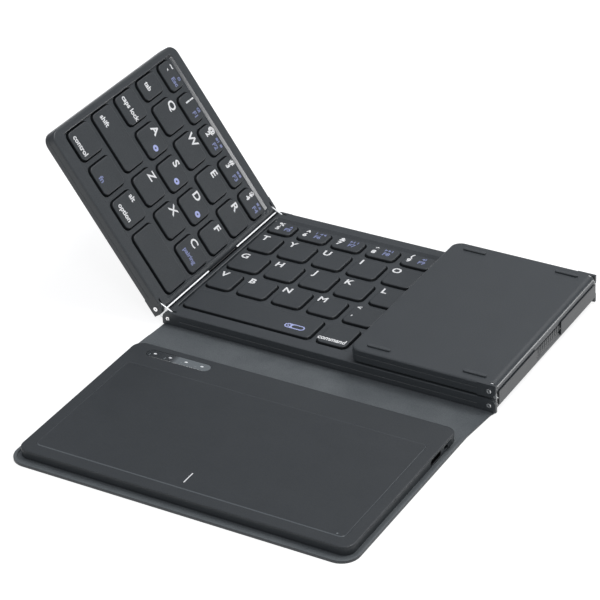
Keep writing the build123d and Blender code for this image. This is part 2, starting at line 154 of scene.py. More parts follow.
camera.data.clip_end = 20
camera.matrix_world = Matrix.Translation(spot) @ Matrix((side, up, back)).transposed().to_4x4()
bpy.context.scene.camera = camera
bpy.context.scene.view_settings.view_transform = "Standard"


# ==== Panels: top and bottom shells ====
# Each of the three panels is two moulded shells of dark grey ABS, clipped together. The top shell
# has a sunk tray with an opening for every key. Hinge sides are half round, free corners rounded.
PANEL = {"left": 92.4, "middle": 162.0, "right": 68.8}
PANEL_T = 6.2
SIDE_R = 3.1
SPLIT = 2.8
EDGE_R = {"left": 0.8, "middle": 0.5, "right": 0.8}
TRAY_Z = 4.9
# (how far out the walls stand, how far back the sloped back wall, height)
TRAY_WALL = [(0.3, 0.5, 6.2), (0.09, 0.3, 6.11), (0.0, 0.1, 5.9), (0.0, -0.9, 5.05), (-0.09, -1.1, 4.93), (-0.3, -1.4, 4.9)]
KEY_TOP = 6.0
PIN_Z = 3.9


def turn(x, degrees):
    """A turn about a hinge pin that runs along Y."""
    pin = Matrix.Translation((x * MM, 0, PIN_Z * MM))
    return pin @ Matrix.Rotation(math.radians(degrees), 4, "Y") @ pin.inverted()


# From the drawing of a panel, in millimetres with its hinge side at X = 0, to its place.
to_metres = Matrix.Scale(MM, 4)
seat = {
    "left": turn(-77.9, 27.75) @ turn(-84.9, 27.75) @ Matrix.Translation((-0.0818, 0, 0.0008))
    @ to_metres @ Matrix.Scale(-1, 4, (1, 0, 0)),
    "middle": Matrix.Translation((-0.081, 0, 0.0008)) @ to_metres,
    "right": turn(77.9, -90) @ turn(84.9, -90) @ Matrix.Translation((0.0818, 0, 0.0008)) @ to_metres,
}


def loop(bm, points, level, axis="z"):
    """Vertices round an outline; the outline lies in XY, or in XZ when axis is y."""
    if axis == "z":
        return [bm.verts.new((u, v, level)) for u, v in points]
    return [bm.verts.new((u, level, v)) for u, v in points]


def band(bm, low, high, skip=()):
    """Faces between two loops, except on the sides that are skipped."""
    for i in range(len(low)):
        if i not in skip:
            j = (i + 1) % len(low)
            bm.faces.new((low[i], low[j], high[j], high[i]))


def fill(bm, *loops):
    """A flat face inside the first loop, with the others as holes."""
    edges = []
    for ring in loops:
        for i, v in enumerate(ring):
            pair = (v, ring[(i + 1) % len(ring)])
            edges.append(bm.edges.get(pair) or bm.edges.new(pair))
    bmesh.ops.triangle_fill(bm, edges=edges, use_beauty=True, normal=(0, 0, 1))


def rounded(x0, x1, y0, y1, r, steps=6):
    """A rectangle with round corners, counter-clockwise."""
    points = []
    for cx, cy, start in ((x1 - r, y0 + r, 270), (x1 - r, y1 - r, 0), (x0 + r, y1 - r, 90), (x0 + r, y0 + r, 180)):
        for i in range(steps + 1):
            a = math.radians(start + 90 * i / steps)
            points.append((cx + r * math.cos(a), cy + r * math.sin(a)))
    return points


def inset(points, amounts):
    """A counter-clockwise outline with every side moved in by its own amount."""
    normals = []
    for i, (x, y) in enumerate(points):
        nx, ny = points[(i + 1) % len(points)]
        length = math.hypot(nx - x, ny - y)
        normals.append((-(ny - y) / length, (nx - x) / length))
    moved = []
    for i, (x, y) in enumerate(points):
        (ax, ay), (bx, by) = normals[i - 1], normals[i]
        a, b = amounts[i - 1], amounts[i]
        det = ax * by - ay * bx
        if abs(det) < 1e-6:
            moved.append((x + ax * a, y + ay * a))
        else:
            moved.append((x + (a * by - b * ay) / det, y + (ax * b - bx * a) / det))
    return moved


def quarter(radius, steps=4):
    """(inset, drop) of a round edge, from the side up to the face."""
    turns = [math.pi / 2 * i / steps for i in range(steps + 1)]
    return [(radius * (1 - math.cos(a)), radius * (1 - math.sin(a))) for a in turns]


def piece(name, bm, body, materials, at=to_metres, replaces=(), sharp=35):
    """Makes the drawn mesh a piece that rides on a body."""
    bm.transform(at)
    bmesh.ops.recalc_face_normals(bm, faces=bm.faces)
    mesh = bpy.data.meshes.new(name)
    bm.to_mesh(mesh)
    bm.free()
    for material in materials:
        mesh.materials.append(material)
    mesh.shade_smooth()
    mesh.set_sharp_from_angle(angle=math.radians(sharp))
    made = bpy.data.objects.new(name, mesh)
    bpy.context.scene.collection.objects.link(made)
    made.modifiers.new("weights", "WEIGHTED_NORMAL").keep_sharp = True
    if body:
        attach(made, body)
    if replaces:
        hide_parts(*replaces)
    return made


def mottled(name, dark, light, roughness, grain, depth, spread=0.03, ior=1.5, metallic=0.0, coat=0.0):
    """A moulded or coated surface: cloudy colour, uneven gloss and a fine raised grain in mm."""
    material = bpy.data.materials.new(name)
    material.use_nodes = True
    tree = material.node_tree
    tree.nodes.clear()
    place = add(tree, "TexCoord").outputs["Object"]
    cloud = add(tree, "TexNoise", {"Vector": place, "Scale": 90.0, "Detail": 4.0, "Roughness": 0.6})
    fine = add(tree, "TexNoise", {"Vector": place, "Scale": 1 / (grain * MM), "Detail": 2.0, "Roughness": 0.5})
    both = add(tree, "Mix", {0: 0.2, 2: fine.outputs[0], 3: cloud.outputs[0]}, data_type="FLOAT")
    tone = add(tree, "MapRange", {"Value": both.outputs[0], "From Min": 0.25, "From Max": 0.75})
    colour = add(tree, "Mix", {0: tone.outputs[0], 6: linear(dark), 7: linear(light)}, data_type="RGBA")
    gloss = add(tree, "MapRange", {
        "Value": cloud.outputs[0], "From Min": 0.3, "From Max": 0.7,
        "To Min": roughness - spread, "To Max": roughness + spread})
    bump = add(tree, "Bump", {"Height": fine.outputs[0], "Distance": depth * MM, "Strength": 1.0})
    shader = add(tree, "BsdfPrincipled", {
        "Base Color": colour.outputs[2], "Roughness": gloss.outputs[0], "Normal": bump.outputs[0],
        "IOR": ior, "Metallic": metallic, "Coat Weight": coat, "Coat Roughness": 0.25})
    add(tree, "OutputMaterial", {"Surface": shader.outputs[0]})
    return material


# Spark-eroded ABS: a dull, very fine grain. The real grain is about 0.1 mm; it is drawn at 0.5 mm,
# because a picture of 600 pixels doesn't hold it otherwise.
abs_plastic = mottled("grained_abs", "34383b", "464a4d", 0.4, 0.5, 0.012)
# The walls of the tray are polished by the cutter of the mould, and catch the light.
# Their colour is also a little lighter than the grained ABS, as a painted highlight.
wall_plastic_highlight = mottled("painted_highlight_wall_abs", "3a3e41", "484c4f", 0.16, 0.8, 0.003, ior=1.6)


def shell_outline(width, two_hinges):
    """The panel inside its half-round sides, and for each side of it 1 where its edge is round, 0 where it
    is cut square for an ear or a slot, and None along a half round."""
    steps = 8
    low = [(SIDE_R, -47.7), (6.4, -47.7), (6.4, -48.6), (8.6, -48.6), (8.6, -50)]
    kinds = [0, 0, 0, 0]
    if two_hinges:
        right = [(width - x, y) for x, y in reversed(low)]
        points = low + right
        kinds += [1, 0, 0, 0, 0, None]
    else:
        points = low + [p for p in rounded(0, width, -50, 50, 5.0, steps)[:2 * (steps + 1)]]
        kinds += [1] * (2 * (steps + 1) + 1)
    if two_hinges:
        points += [(x, -y) for x, y in reversed(right)] + [(x, -y) for x, y in reversed(low)]
        kinds += [0, 0, 0, 0, 1, 0, 0, 0, 0, None]
    else:
        points += [(x, -y) for x, y in reversed(low)]
        kinds += [0, 0, 0, 0, None]
    return points, kinds


def half_round(bm, x, inward, start, end, faces_at):
    """A strip of a half-round side between two angles, with flat ends; 90 degrees is the top."""
    rows = []
    for i in range(13):
        a = math.radians(start + (end - start) * i / 12)
        px = x - inward * SIDE_R * math.cos(a)
        pz = SIDE_R + SIDE_R * math.sin(a)
        rows.append([bm.verts.new((px, y, pz)) for y in (-47.7, 47.7)])
    for a, b in zip(rows, rows[1:]):
        bm.faces.new((a[0], a[1], b[1], b[0]))
    for end_i in (0, 1):
        y = (-47.7, 47.7)[end_i]
        corner = bm.verts.new((x, y, faces_at))
        bm.faces.new([row[end_i] for row in rows] + [corner])


def shell(width, two_hinges, levels):
    """Rings of a shell through (inset, height) pairs, and the loop at the last of them."""
    bm = bmesh.new()
    points, kinds = shell_outline(width, two_hinges)
    curved = [i for i, k in enumerate(kinds) if k is None]
    rings = [loop(bm, inset(points, [amount * (k or 0) for k in kinds]), z) for amount, z in levels]
    for low, high in zip(rings, rings[1:]):
        band(bm, low, high, skip=curved)
    return bm, rings[-1]


def ear(bm, x, inward, y, outward):
    """The flat ear that holds a pin: round at the rim, square at the back face."""
    outline = [(x, 0)]
    for i in range(13):
        a = math.radians(180 - 90 * i / 12)
        outline.append((x + inward * (SIDE_R + SIDE_R * math.cos(a)), SIDE_R + SIDE_R * math.sin(a)))
    outline += [(x + inward * 8.6, PANEL_T), (x + inward * 8.6, 0)]
    sides = [1] * (len(outline) - 2) + [0, 1]
    if inward > 0:
        outline.reverse()
        sides = [0] + [1] * (len(outline) - 1)
    loops = [loop(bm, outline, y - outward * 1.4, "y")]
    for amount, drop in quarter(0.2, 2):
        loops.append(loop(bm, inset(outline, [amount * s for s in sides]), y - outward * drop, "y"))
    for a, b in zip(loops, loops[1:]):
        band(bm, a, b)
    bm.faces.new(loops[0])
    bm.faces.new(loops[-1])


def skin(bm, x, inward, ya, yb):
    """The thin wall that closes the slot for the link at the back face."""
    x0, x1 = sorted((x + inward * SIDE_R, x + inward * 6.4))
    y0, y1 = sorted((ya, yb))
    corners = [(x0, y0), (x1, y0), (x1, y1), (x0, y1)]
    low, high = loop(bm, corners, 0.0), loop(bm, corners, 0.1)
    band(bm, low, high)
    bm.faces.new(low)
    bm.faces.new(high)


def key_boxes(node, name):
    """The rectangles of a row of keys on its panel, read from the CAD node, in millimetres."""
    flat = seat[name].inverted()
    spans = []
    low, high = 1e9, -1e9
    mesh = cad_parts[node].data
    for polygon in mesh.polygons:
        corners = [flat @ mesh.vertices[i].co for i in polygon.vertices]
        spans.append([min(c.x for c in corners), max(c.x for c in corners)])
        low = min([low] + [c.y for c in corners])
        high = max([high] + [c.y for c in corners])
    spans.sort()
    merged = [spans[0]]
    for a, b in spans[1:]:
        if a > merged[-1][1] + 0.5:
            merged.append([a, b])
        else:
            merged[-1][1] = max(merged[-1][1], b)
    return [(a, b, low, high) for a, b in merged]


keys = {}
for name in PANEL:
    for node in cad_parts:
        if node.startswith(name + "_") and node.endswith(("_keys", "_key")):
            keys[node] = key_boxes(node, name)

for name, width in PANEL.items():
    two = name == "middle"
    body = "middle" if two else name + "_leaf"
    far = 3.6 if two else 3.4
    edge = [(amount, PANEL_T - drop) for amount, drop in quarter(EDGE_R[name])]
    bm, rim = shell(width, two, [(0.12, SPLIT), (0.0, SPLIT + 0.12)] + edge)
    tray = (3.6, width - far, -43.2, 44.4)
    walls = []
    for grow, behind, z in TRAY_WALL:
        x0, x1, y0, y1 = tray
        walls.append(loop(bm, rounded(x0 - grow, x1 + grow, y0 - grow, y1 + behind, 1.5 + grow), z))
    # The tray walls take the polished plastic, with its painted highlight.
    before = len(bm.faces)
    for high, low in zip(walls, walls[1:]):
        band(bm, low, high)
    bm.faces.ensure_lookup_table()
    for face in bm.faces[before:]:
        face.material_index = 1
    fill(bm, rim, walls[0])
    holes = []
    for node, boxes in keys.items():
        if node.startswith(name + "_"):
            for x0, x1, y0, y1 in boxes:
                rings = []
                for grow, z in ((0.48, TRAY_Z), (0.38, TRAY_Z - 0.1), (0.38, SPLIT + 1.3)):
                    rings.append(loop(bm, rounded(x0 - grow, x1 + grow, y0 - grow, y1 + grow, 2.6 + grow, 5), z))
                band(bm, rings[1], rings[0])
                band(bm, rings[2], rings[1])
                holes.append(rings[0])
    fill(bm, walls[-1], *holes)
    for x, inward in [(SIDE_R, 1), (width - SIDE_R, -1)] if two else [(SIDE_R, 1)]:
        half_round(bm, x, inward, 90, -5.55, SPLIT)
    piece(name + "_top_shell", bm, body, [abs_plastic, wall_plastic_highlight], seat[name], [name + "_frame"])

    edge = [(amount, drop) for amount, drop in quarter(EDGE_R[name])]
    bm, low_rim = shell(width, two, [(0.12, SPLIT), (0.0, SPLIT - 0.12)] + edge)
    fill(bm, low_rim)
    before = len(bm.faces)
    for x, inward in [(SIDE_R, 1), (width - SIDE_R, -1)] if two else [(SIDE_R, 1)]:
        half_round(bm, x, inward, -5.55, -90, SPLIT)
    if not two:
        # A leaf rolls on this part of the edge, and it is as smooth as the tray walls; it takes their lighter colour,
        # a painted highlight.
        bm.faces.ensure_lookup_table()
        for face in bm.faces[before:before + 7]:
            face.material_index = 1
    for x, inward in [(0, 1), (width, -1)] if two else [(0, 1)]:
        for y, outward in ((-50, -1), (50, 1)):
            ear(bm, x, inward, y, outward)
            skin(bm, x, inward, y - outward * 2.3, y - outward * 1.4)
    piece(name + "_bottom_shell", bm, body, [abs_plastic, wall_plastic_highlight], seat[name], [name + "_case"])


# ==== Key caps ====
# 82 caps moulded in the same dark grey, with round corners and softly rolled top edges. Each rides on
# the slide of its row. The finish is a little duller than the shell.
cap_plastic = mottled("cap_abs", "303437", "424649", 0.45, 0.45, 0.012)
# Painted shade: the skirts of the caps are drawn near black, a little smoother than the tops, for the shade on their
# sides.
cap_side_shade = mottled("skirt_abs_painted_shade", "17191b", "202326", 0.4, 0.8, 0.003)
CAP_PROFILE = [(0.0, 4.3), (0.16, 5.2), (0.24, 5.55), (0.32, 5.75), (0.46, 5.9), (0.66, 5.975), (0.9, KEY_TOP)]

for node, boxes in keys.items():
    name = node.split("_")[0]
    bm = bmesh.new()
    for x0, x1, y0, y1 in boxes:
        rings = []
        for d, z in CAP_PROFILE:
            rings.append(loop(bm, rounded(x0 + d, x1 - d, y0 + d, y1 - d, 2.6 - d), z))
        for low, high in zip(rings, rings[1:]):
            before = len(bm.faces)
            band(bm, low, high)
            # The lowest bands, the skirt, take the painted shade.
            if high in rings[:4]:
                bm.faces.ensure_lookup_table()
                for face in bm.faces[before:]:
                    face.material_index = 1
        bm.faces.new(rings[-1])
        bm.faces.new(rings[0])
    piece(node.replace("_key", "_cap"), bm, node, [cap_plastic, cap_side_shade], seat[name], [node])

# ==== Lettering on the keys ====
# Pad-printed ink on the caps: white letters, and second functions in pale blue. Each row's ink rides
# with its keys.
white_ink = mottled("white_pad_ink", "f0f1f1", "fdfdfd", 0.4, 0.4, 0.002)
blue_ink = mottled("blue_pad_ink", "7079a6", "9aa2c8", 0.45, 0.4, 0.002)
pale_ink = mottled("pale_blue_pad_ink", "a2abe6", "c4ccf4", 0.45, 0.4, 0.002)
INK_Z = KEY_TOP + 0.015


def lettering(bm, text, x, y, height, facing=1, wide=1.0, z=INK_Z, weight=0.03):
    """Words as a thin layer of ink, centred on a point; facing is -1 where the drawing is mirrored."""
    words = bpy.data.curves.new("words", "FONT")
    words.body = text
    words.resolution_u = 3
    words.offset = weight
    words.extrude = 0.004
    holder = bpy.data.objects.new("words", words)
    flat = bpy.data.meshes.new_from_object(holder)
    xs = [v.co.x for v in flat.vertices]
    ys = [v.co.y for v in flat.vertices]
    middle = Vector(((min(xs) + max(xs)) / 2, (min(ys) + max(ys)) / 2, 0))
    scale = height / 0.73
    sized = Matrix.Diagonal((facing * wide * scale, scale, scale, 1))
    flat.transform(Matrix.Translation((x, y, z)) @ sized @ Matrix.Translation(-middle))
    bm.from_mesh(flat)
    bpy.data.objects.remove(holder)
    bpy.data.curves.remove(words)
    bpy.data.meshes.remove(flat)


SIGNS = {
    "<": [(0.8, 0), (0.8, 1), (0, 0.5)],
    ">": [(0, 0), (0.8, 0.5), (0, 1)],
    "^": [(0, 0), (1, 0), (0.5, 0.8)],
    "|": [(0, 0), (0.25, 0), (0.25, 1), (0, 1)],
    "s": [(0, 0.1), (0.8, 0.1), (0.8, 0.9), (0, 0.9)],
}


def slab(bm, points, z, thick=0.015):
    """A flat mark with a little thickness."""
    low = loop(bm, points, z - thick)
    high = loop(bm, points, z + thick)
    band(bm, low, high)
    bm.faces.new(high)
    bm.faces.new(low)


def sign(bm, code, x, y, size, facing=1, z=INK_Z):
    """A row of small plain marks, one for each character; o is a ring."""
    x -= facing * 0.5 * size * len(code)
    for mark in code:
        if mark == "o":
            ring(bm, x + facing * 0.5 * size, y, 0.5 * size, 0.25 * size, z)
        else:
            slab(bm, [(x + facing * u * size, y + (v - 0.5) * size) for u, v in SIGNS[mark]], z)
        x += facing * size


def ring(bm, x, y, outer, inner, z, steps=20):
    turns = [2 * math.pi * i / steps for i in range(steps)]
    loops = []
    for radius, level in ((inner, z - 0.015), (outer, z - 0.015), (outer, z + 0.015), (inner, z + 0.015)):
        loops.append(loop(bm, [(x + radius * math.cos(a), y + radius * math.sin(a)) for a in turns], level))
    for a, b in zip(loops, loops[1:] + loops[:1]):
        band(bm, a, b)


LETTER_H = {"left": 4.3, "middle": 3.9, "right": 3.9}
WORD_H = 2.9
# Where a mark of each kind sits: (from the cap's left edge, from its back edge), in mm.
PLACE = {
    "left": {"letter": (4.5, 2.5), "upper": (4.0, 1.5), "lower": (4.0, 4.7), "icon": (10.6, 1.5),
             "number": (10.6, 4.9), "dot": (11.0, 8.5)},
    "middle": {"letter": (2.7, 3.0), "upper": (3.2, 2.2), "lower": (2.9, 5.6), "icon": (9.9, 2.4),
               "number": (9.3, 5.4), "dot": (11.0, 8.5)},
    "right": {"letter": (3.4, 3.2), "upper": (3.2, 2.2), "lower": (3.2, 5.6), "icon": (9.9, 2.4),
              "number": (9.3, 5.4), "dot": (11.0, 8.5)},
}
# The caps of each row from the hinge side outward; a word comes with its place on the cap.
ROWS = {
    "left_number_keys": ["$4", "#3", "@2", "!1", "~`"],
    "left_top_keys": ["R", "E", "W", "Q", ("tab", 4.7, 8.8)],
    "left_home_keys": ["F", "D", "S", "A", ("caps lock", 8.0, 8.9)],
    "left_lower_keys": ["C", "X", "Z"],
    "left_shift_key": [("shift", 5.5, 8.9)],
    "left_bottom_keys": [("alt", 4.1, 2.6, "option", 7.2, 12.0), None, ("control", 7.8, 12.4)],
    "middle_number_keys": ["%5", "^6", "&7", "*8", "(9", ")0", "_-", "+=", ("delete", 7.0, 6.6)],
    "middle_top_keys": ["T", "Y", "U", "I", "O", "P", "{[", "}]", "|\\"],
    "middle_home_keys": ["G", "H", "J", "K", "L", ":;", "\"'", ("enter", 19.0, 11.4)],
    "middle_lower_keys": ["V", "B", "N", "M", "<,", ">.", "?/", ("^", 7.4, 7.4), ("shift", 7.0, 11.4)],
    "middle_bottom_keys": [("command", 6.6, 12.4), ("option", 6.0, 12.4), ("<", 7.4, 8.0), ("^", 7.4, 8.0), (">", 7.4, 8.0)],
    "right_number_keys": [("num", 6.0, 5.0), "/", "*", "-"],
    "right_top_keys": ["7", "8", "9", "+"],
    "right_home_keys": ["4", "5", "6", "="],
    "right_lower_keys": ["1", "2", "3"],
    "right_enter_key": [("enter", 6.6, 28.0)],
    "right_bottom_keys": ["0", "."],
}
SECOND = {
    "left_number_keys": [("s^", "F4"), ("ss", "F3"), ("s|s", "F2"), ("o|", "F1"), ("o", "Esc")],
    "middle_number_keys": [("^", "F5"), ("|<<", "F6"), (">||", "F7"), (">>|", "F8"), ("<|", "F9"),
                           ("<||", "F10"), ("<|||", "F11"), ("s", "F12"), None],
}

for node, labels in ROWS.items():
    name = node.split("_")[0]
    facing = -1 if name == "left" else 1
    print_white = bmesh.new()
    print_blue = bmesh.new()
    print_pale = bmesh.new()
    for i, ((x0, x1, y0, y1), label) in enumerate(zip(keys[node], labels)):
        start = x1 if facing < 0 else x0
        narrow = 1.2 if name == "middle" and i == 0 else 0.0

        def at(kind):
            dx, dy = PLACE[name][kind]
            return start + facing * (dx + (narrow if kind in ("letter", "upper", "lower") else 0)), y1 - dy

        if label is None:
            lettering(print_blue, "fn", start + facing * 7.2, y1 - 12.4, WORD_H, facing)
        elif isinstance(label, tuple):
            for word, dx, dy in zip(label[::3], label[1::3], label[2::3]):
                if word in SIGNS:
                    sign(print_white, word, start + facing * dx, y1 - dy, 2.6, facing)
                else:
                    lettering(print_white, word, start + facing * dx, y1 - dy, WORD_H, facing, 0.86, weight=0.028)
        elif len(label) == 1:
            lettering(print_white, label, *at("letter"), LETTER_H[name], facing, 1.05, weight=0.026)
        elif node.endswith("number_keys"):
            lettering(print_white, label[0], *at("upper"), 2.7, facing, 1.1, weight=0.045)
            lettering(print_white, label[1], *at("lower"), 2.7, facing, 1.1, weight=0.045)
        else:
            x, y = at("letter")
            lettering(print_white, label[0], x, y + 1.0, 2.7, facing)
            lettering(print_white, label[1], x, y - 6.4, 2.7, facing)
        if node in SECOND and SECOND[node][i]:
            code, number = SECOND[node][i]
            sign(print_blue, code, *at("icon"), 1.8, facing)
            lettering(print_blue, number, *at("number"), 2.5, facing, 1.05)
        if label in ("A", "S", "D"):
            ring(print_pale, *at("dot"), 1.6, 0.5, INK_Z)
        if label == "C":
            lettering(print_blue, "pairing", start + facing * 7.6, y1 - 10.0, 2.7, facing, 0.86)
    for tint, drawn, ink in (("_blue_print", print_blue, blue_ink), ("_pale_print", print_pale, pale_ink)):
        if drawn.faces:
            piece(node.replace("_key", tint), drawn, node, [ink], seat[name])
    piece(node.replace("_key", "_white_print"), print_white, node, [white_ink], seat[name])

x0, x1, y0, y1 = keys["middle_space_key"][0]
bm = bmesh.new()
slab(bm, rounded(x0 + 49.4, x0 + 59.2, y0 + 3.9, y0 + 7.3, 1.69, 6), INK_Z)
before = len(bm.faces)
ring(bm, x0 + 51.1, y0 + 5.6, 1.1, 0.5, INK_Z + 0.01)
slab(bm, rounded(x0 + 53.0, x0 + 58.6, y0 + 4.5, y0 + 6.7, 1.09, 6), INK_Z + 0.01)
bm.faces.ensure_lookup_table()
for face in bm.faces[before:]:
    face.material_index = 1
piece("space_blue_print", bm, "middle_space_key", [pale_ink, cap_plastic], seat["middle"])


# ==== Rubber feet of the leaves ====
# Four moulded rubber bars glued to the back of each leaf. They keep an open leaf level on the table.
foot_rubber = mottled("moulded_rubber", "3a3e41", "4a4e51", 0.5, 0.6, 0.01, ior=1.52)


def bar(bm, x0, x1, y0, y1, z0, z1, corner, r):
    """A bar with round corners and softened edges."""
    profile = [(d, z0 + drop) for d, drop in reversed(quarter(r, 3))] + [(d, z1 - drop) for d, drop in quarter(r, 3)]
    rings = [loop(bm, rounded(x0 + d, x1 - d, y0 + d, y1 - d, corner - d), z) for d, z in profile]
    for low, high in zip(rings, rings[1:]):
        band(bm, low, high)
    bm.faces.new(rings[0])
    bm.faces.new(rings[-1])


for name in ("left", "right"):
    bm = bmesh.new()
    for x0 in (6.5, PANEL[name] - 17.5):
        for y0 in (-45.8, 44.0):
            bar(bm, x0, x0 + 11, y0, y0 + 1.8, -0.8, 0.05, 0.88, 0.42)
    piece(name + "_rubber_feet", bm, name + "_leaf", [foot_rubber], seat[name], [name + "_feet"])


# ==== Hinges ====
# At each end of a fold a steel link plate holds two turned pins, riveted through it. Two thin steel
# bars and a plastic bridge for the flat cable fill the fold, with plastic covers behind them.
def brushed(name, dark, light, roughness, grain, along, depth=0.003):
    """Steel with fine lines along an axis; real lines of 0.05 mm are drawn wider, to show at all."""
    material = bpy.data.materials.new(name)
    material.use_nodes = True
    tree = material.node_tree
    tree.nodes.clear()
    stretch = [1 / (grain * MM)] * 3
    stretch[along] /= 40
    place = add(tree, "Mapping", {"Vector": add(tree, "TexCoord").outputs["Object"], "Scale": stretch})
    lines = add(tree, "TexNoise", {"Vector": place.outputs[0], "Scale": 1.0, "Detail": 3.0, "Roughness": 0.6})
    colour = add(tree, "Mix", {0: lines.outputs[0], 6: linear(dark), 7: linear(light)}, data_type="RGBA")
    gloss = add(tree, "MapRange", {"Value": lines.outputs[0], "From Min": 0.3, "From Max": 0.7,
                                   "To Min": roughness - 0.07, "To Max": roughness + 0.07})
    bump = add(tree, "Bump", {"Height": lines.outputs[0], "Distance": depth * MM})
    shader = add(tree, "BsdfPrincipled", {
        "Base Color": colour.outputs[2], "Roughness": gloss.outputs[0], "Normal": bump.outputs[0], "Metallic": 1.0})
    add(tree, "OutputMaterial", {"Surface": shader.outputs[0]})
    return material


# Spring steel, stamped: bright, with fine rolling lines along the fold.
rolled_steel = brushed("rolled_steel", "d4d6d7", "f1f2f2", 0.32, 0.25, 1)
# Nickel-plated turned steel: brighter and smoother than the plates.
nickel = brushed("nickel_plate", "e2e3e4", "faf9f8", 0.22, 0.2, 1)
# Painted shade inside the hollow of a pin head.
pin_hollow = mottled("pin_hollow_painted_shade", "15171a", "23262a", 0.4, 0.3, 0.004, metallic=0.7)
# Glass-filled nylon: darker and duller than the panels.
nylon = mottled("moulded_nylon", "22262a", "2f3437", 0.34, 0.5, 0.006, ior=1.5)
FOLD_X = -81.4
hinge_seat = {"left": turn(-77.9, 27.75) @ to_metres, "right": turn(77.9, -90) @ to_metres @ Matrix.Scale(-1, 4, (1, 0, 0))}
PIN_PROFILE = [(0.24, 0.12), (0.27, 0.32), (0.34, 0.35), (0.98, 0.35), (1.07, 0.3), (1.1, 0.2), (1.1, 0.0), (0.6, 0.0), (0.6, -2.1)]


def turned(bm, x, y, outward, profile, steps=28):
    """A turned piece on a line along Y, from pairs of radius and distance out from y."""
    rings = []
    for radius, out in profile:
        turns = [2 * math.pi * i / steps for i in range(steps)]
        points = [(x + radius * math.cos(a), PIN_Z + radius * math.sin(a)) for a in turns]
        rings.append(loop(bm, points, y + outward * out, "y"))
    for a, b in zip(rings, rings[1:]):
        band(bm, a, b)
    bm.faces.new(rings[-1])
    bm.faces.new(rings[0])
    # The faces round the hollow of the head take the painted shade.
    for v in rings[0]:
        for face in v.link_faces:
            face.material_index = 1


LINK_R = 2.92


for name in ("left", "right"):
    body = name + "_link"
    bm = bmesh.new()
    outline = rounded(FOLD_X - 3.5 - LINK_R, FOLD_X + 3.5 + LINK_R, PIN_Z - LINK_R, PIN_Z + LINK_R, LINK_R - 0.01, 10)
    for y0, y1 in ((-48.55, -47.75), (47.75, 48.55)):
        rings = [loop(bm, inset(outline, [d] * len(outline)), y, "y")
                 for d, y in ((0.07, y0), (0.0, y0 + 0.07), (0.0, y1 - 0.07), (0.07, y1))]
        for a, b in zip(rings, rings[1:]):
            band(bm, a, b)
        bm.faces.new(rings[0])
        bm.faces.new(rings[-1])
    piece(name + "_hinge_links", bm, body, [rolled_steel], hinge_seat[name], [name + "_link_plates"])
    bm = bmesh.new()
    for x in (FOLD_X - 3.5, FOLD_X + 3.5):
        turned(bm, x, -50, -1, PIN_PROFILE)
        turned(bm, x, 50, 1, PIN_PROFILE)
    piece(name + "_turned_pins", bm, body, [nickel, pin_hollow], hinge_seat[name], [name + "_hinge_pins"])
    bm = bmesh.new()
    for y0, y1 in ((-47.85, -12.2), (12.2, 47.85)):
        bar(bm, FOLD_X - 0.35, FOLD_X + 0.35, y0, y1, 0.65, 6.2, 0.12, 0.08)
    piece(name + "_fold_bars", bm, body, [rolled_steel], hinge_seat[name], [name + "_spine_bars"])
    bm = bmesh.new()
    for y0, y1 in ((-47.85, -12.2), (12.2, 47.85)):
        bar(bm, FOLD_X - 3.3, FOLD_X + 3.3, y0, y1, 0.15, 0.65, 0.3, 0.15)
    piece(name + "_fold_covers", bm, body, [nylon], hinge_seat[name], [name + "_spine_covers"])
    # The bridge has hollow flanks, a groove along one side and ribs for a fingernail.
    flank = [(3.5 - 3.3 * math.cos(a), -3.3 * math.sin(a)) for a in (math.radians(29.5 + 4.2 * i) for i in range(8))]
    half = [(x, z) for x, z in flank if x < 2.4]
    foot = -3.1
    outline = [(-2.4, foot)] + [(-x, z) for x, z in reversed(half)] + half
    outline += [(2.4, foot), (2.0, foot), (1.55, foot + 0.35), (0.6, foot + 0.6), (0.6, foot)]
    bm = bmesh.new()
    ends = [loop(bm, [(FOLD_X + x, PIN_Z + z) for x, z in outline], y, "y") for y in (-12.0, 12.0)]
    band(bm, *ends)
    bm.faces.new(ends[0])
    bm.faces.new(ends[1])
    for i in range(12):
        y = -11 + 2 * i
        bar(bm, FOLD_X - 2.2, FOLD_X + 0.7, y - 0.45, y + 0.45, PIN_Z + foot - 0.15, PIN_Z + foot + 0.02, 0.2, 0.06)
    piece(name + "_bridge", bm, body, [nylon], hinge_seat[name], [name + "_cable_bridge"])


